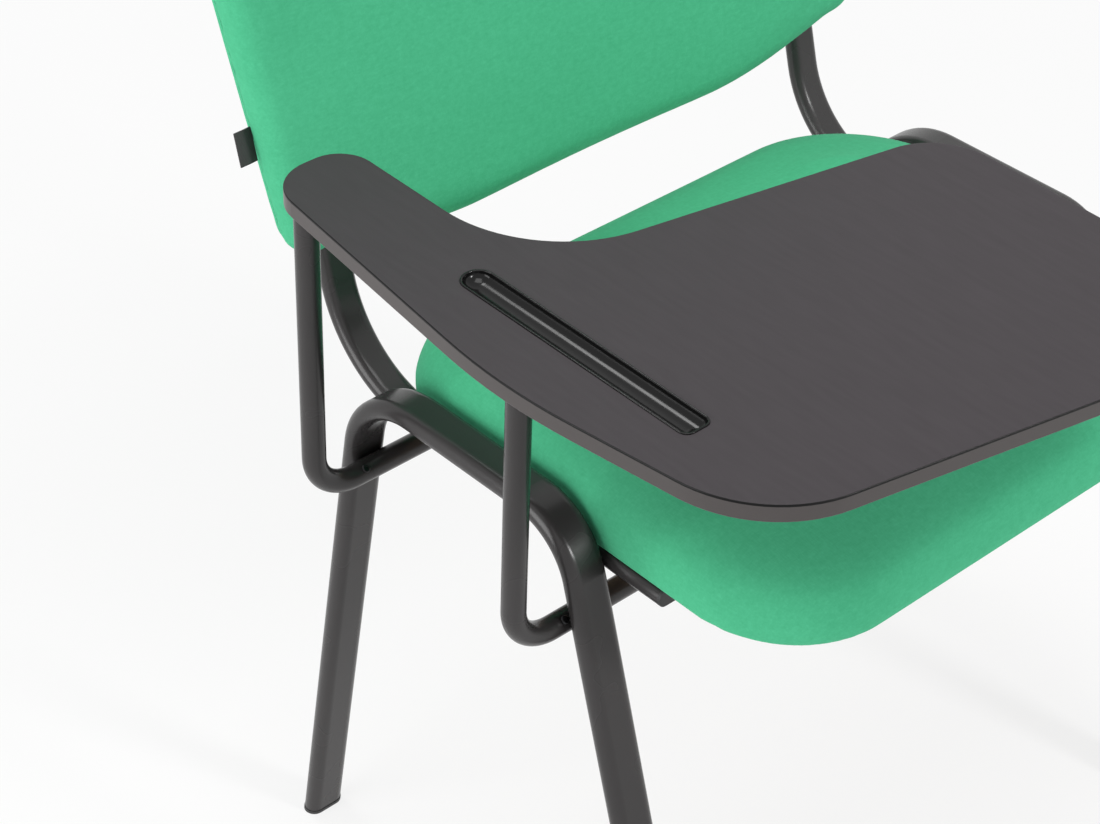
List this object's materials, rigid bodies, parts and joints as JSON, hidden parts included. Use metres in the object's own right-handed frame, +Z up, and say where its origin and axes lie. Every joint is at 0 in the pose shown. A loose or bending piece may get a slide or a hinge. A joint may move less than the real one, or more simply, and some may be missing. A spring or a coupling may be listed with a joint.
{
  "type": "writing tablet chair",
  "caption": "Stackable conference chair with green woven upholstery, a black tube frame and a fixed dark writing tablet with a pen tray on the sitter's right.",
  "frame": {"origin": "on the floor, under the middle of the whole chair's box; the seat's own centre line lies 29.2 mm towards +X of it", "axes": "+Z up; the chair faces -Y; the sitter's right, with the tablet, is at -X"},
  "size_m": [0.6218, 0.6554, 0.8404],
  "materials": {
    "frame": "satin black powder coat",
    "plug": "matte black",
    "steel": "zinc plated",
    "board": "fine-grained charcoal laminate with a lighter edge",
    "tray": "high gloss black",
    "plywood": "raw beech plywood",
    "fabric": "woven wool, green",
    "label": "black woven tape, bare"
  },
  "bodies": {
    "root": {"back_tube_left": "frame", "back_tube_right": "frame", "backrest_cushion": "fabric", "backrest_panel": "plywood", "backrest_rear_pad": "fabric", "backrest_screws": "steel", "cross_plug_front": "plug", "cross_plug_rear": "plug", "cross_tube_front": "frame", "cross_tube_rear": "frame", "foot_cap_front_left": "plug", "foot_cap_front_right": "plug", "foot_cap_rear_left": "plug", "foot_cap_rear_right": "plug", "label_tab": "label", "leg_frame_left": "frame", "leg_frame_right": "frame", "pen_tray": "tray", "post_spigots": "steel", "seat_bolts": "steel", "seat_cushion": "fabric", "seat_nuts": "steel", "seat_panel": "plywood", "spigot_screws": "steel", "tablet_board": "board", "tablet_plate_front": "frame", "tablet_plate_rear": "frame", "tablet_post_front": "frame", "tablet_post_rear": "frame", "tablet_screws": "steel", "tail_plug_left": "plug", "tail_plug_right": "plug"}
  },
  "joints": []
}
